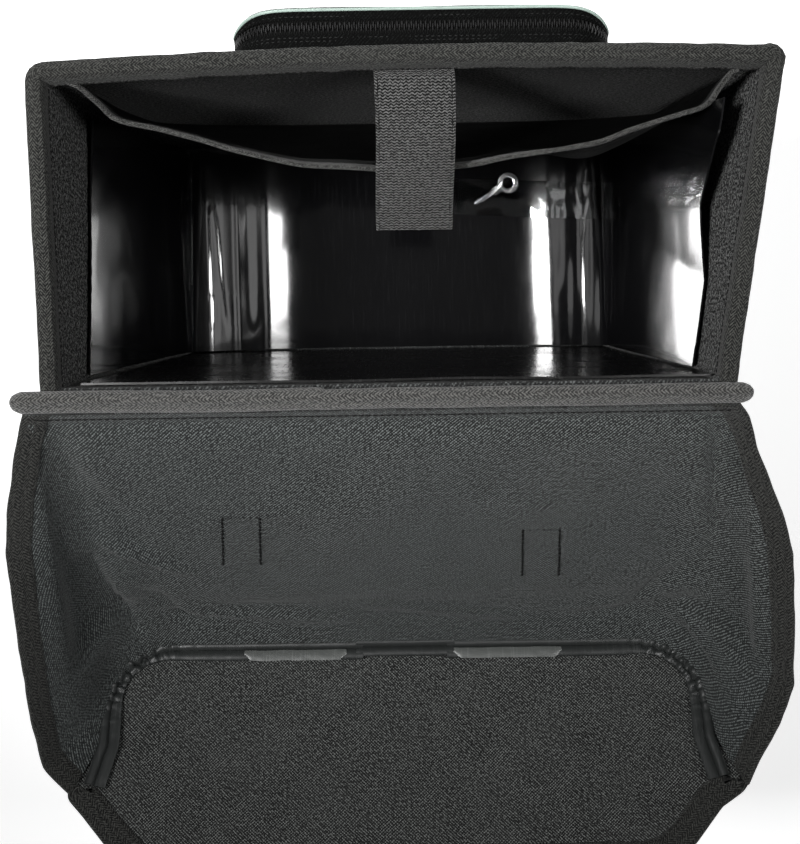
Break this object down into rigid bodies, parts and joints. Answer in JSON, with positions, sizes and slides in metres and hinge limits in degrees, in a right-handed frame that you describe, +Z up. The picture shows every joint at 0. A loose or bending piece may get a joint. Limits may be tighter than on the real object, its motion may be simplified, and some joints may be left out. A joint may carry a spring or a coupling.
{
  "type": "pannier bag",
  "caption": "Open bicycle pannier bag with a boxed lid folded back, glossy bent liner, slip pocket, zipped front pocket, buckle straps and rack hooks.",
  "frame": {"origin": "centre of the base's underside, on the surface that the bag stands on", "axes": "+Z up, +Y to the outer side with the zipped pocket, -Y to the bicycle with the hooks, +X to the right seen from the bicycle"},
  "size_m": [0.4182, 0.4799, 0.3258],
  "materials": {
    "twill": "matt woven polyester",
    "binding": "herringbone tape",
    "liner": "glossy",
    "webbing": "woven webbing",
    "hook_loop": "matt hook and loop tape",
    "seam_tape": "semi-gloss film",
    "zip": "satin coil",
    "zip_metal": "satin",
    "piping": "reflective",
    "plastic": "satin",
    "alloy": "anodised dark",
    "steel": "nickel plated",
    "clear_tape": "clear film"
  },
  "bodies": {
    "bag": {"base_panel": "twill", "front_wall": "twill", "back_wall": "twill", "left_wall": "twill", "right_wall": "twill", "inner_pocket": "twill", "pocket_gusset_rear": "twill", "pocket_gusset_front": "twill", "pocket_cover": "twill", "front_left_seam": "binding", "front_right_seam": "binding", "back_left_seam": "binding", "back_right_seam": "binding", "base_binding": "binding", "mouth_binding": "binding", "inner_pocket_binding": "binding", "back_board": "liner", "liner": "liner", "key": "steel", "left_latch_pin": "steel", "right_latch_pin": "steel", "rail_screw_1": "steel", "rail_screw_2": "steel", "rail_screw_3": "steel", "rail_screw_4": "steel", "lower_screw_1": "steel", "lower_screw_2": "steel", "key_tape": "clear_tape", "zip_chain": "zip", "pocket_piping": "piping", "left_clip_web": "webbing", "right_clip_web": "webbing", "left_hook": "plastic", "right_hook": "plastic", "lock_housing": "plastic", "hook_rail": "alloy", "lower_rail": "alloy"},
    "lid": {"lid_top": "twill", "lid_left_wing": "twill", "lid_right_wing": "twill", "lid_flap": "twill", "hinge_binding": "binding", "lid_edge_binding": "binding", "seam_tape": "seam_tape", "left_lid_strap": "webbing", "right_lid_strap": "webbing"},
    "left_strap": {"left_strap_tail": "webbing", "left_buckle_male": "plastic"},
    "right_strap": {"right_strap_tail": "webbing", "right_buckle_male": "plastic"},
    "left_buckle": {"left_clip": "plastic"},
    "right_buckle": {"right_clip": "plastic"},
    "slider": {"zip_slider": "zip_metal"},
    "pull": {"zip_pull": "zip_metal"},
    "inner_strap": {"hook_loop_strap": "hook_loop"},
    "left_latch_lever": {"left_latch": "plastic"},
    "right_latch_lever": {"right_latch": "plastic"},
    "barrel": {"lock_barrel": "steel"},
    "lower_hook_slide_body": {"lower_hook": "plastic"}
  },
  "joints": [
    {"name": "lid_hinge", "type": "hinge", "parent": "bag", "child": "lid", "pos_m": [0, -0.0885, 0.32], "axis": [-1, 0, 0], "range_deg": [0, 220.9]},
    {"name": "left_strap_swing", "type": "hinge", "parent": "lid", "child": "left_strap", "pos_m": [-0.0875, -0.24834, 0.17691], "axis": [1, 0, 0], "range_deg": [-124, 40]},
    {"name": "right_strap_swing", "type": "hinge", "parent": "lid", "child": "right_strap", "pos_m": [0.0775, -0.24834, 0.17691], "axis": [1, 0, 0], "range_deg": [-124, 40]},
    {"name": "left_clip_swing", "type": "hinge", "parent": "bag", "child": "left_buckle", "pos_m": [-0.0875, 0.08293, 0.123], "axis": [1, 0, 0], "range_deg": [0, 110]},
    {"name": "right_clip_swing", "type": "hinge", "parent": "bag", "child": "right_buckle", "pos_m": [0.0775, 0.08293, 0.123], "axis": [1, 0, 0], "range_deg": [0, 110]},
    {"name": "zip_slide", "type": "slide", "parent": "bag", "child": "slider", "axis": [0, 0, 1], "range_m": [0, 0.058]},
    {"name": "zip_pull_swing", "type": "hinge", "parent": "slider", "child": "pull", "pos_m": [0.1214, 0.0986, 0.185], "axis": [0, -1, 0], "range_deg": [0, 120]},
    {"name": "inner_strap_swing", "type": "hinge", "parent": "bag", "child": "inner_strap", "pos_m": [0.01, 0.0745, 0.31], "axis": [1, 0, 0], "range_deg": [-100, 0]},
    {"name": "left_latch_swing", "type": "hinge", "parent": "bag", "child": "left_latch_lever", "pos_m": [-0.08, -0.0995, 0.232], "axis": [-1, 0, 0], "range_deg": [0, 70], "stiffness_Nm_per_rad": 0.02, "springref_deg": -17.19},
    {"name": "right_latch_swing", "type": "hinge", "parent": "bag", "child": "right_latch_lever", "pos_m": [0.08, -0.0995, 0.232], "axis": [-1, 0, 0], "range_deg": [0, 70], "stiffness_Nm_per_rad": 0.02, "springref_deg": -17.19},
    {"name": "lock_turn", "type": "hinge", "parent": "bag", "child": "barrel", "pos_m": [0, -0.1, 0.268], "axis": [0, 1, 0], "range_deg": [0, 90]},
    {"name": "lower_hook_slide", "type": "slide", "parent": "bag", "child": "lower_hook_slide_body", "axis": [1, 0, 0], "range_m": [-0.045, 0.045]}
  ]
}
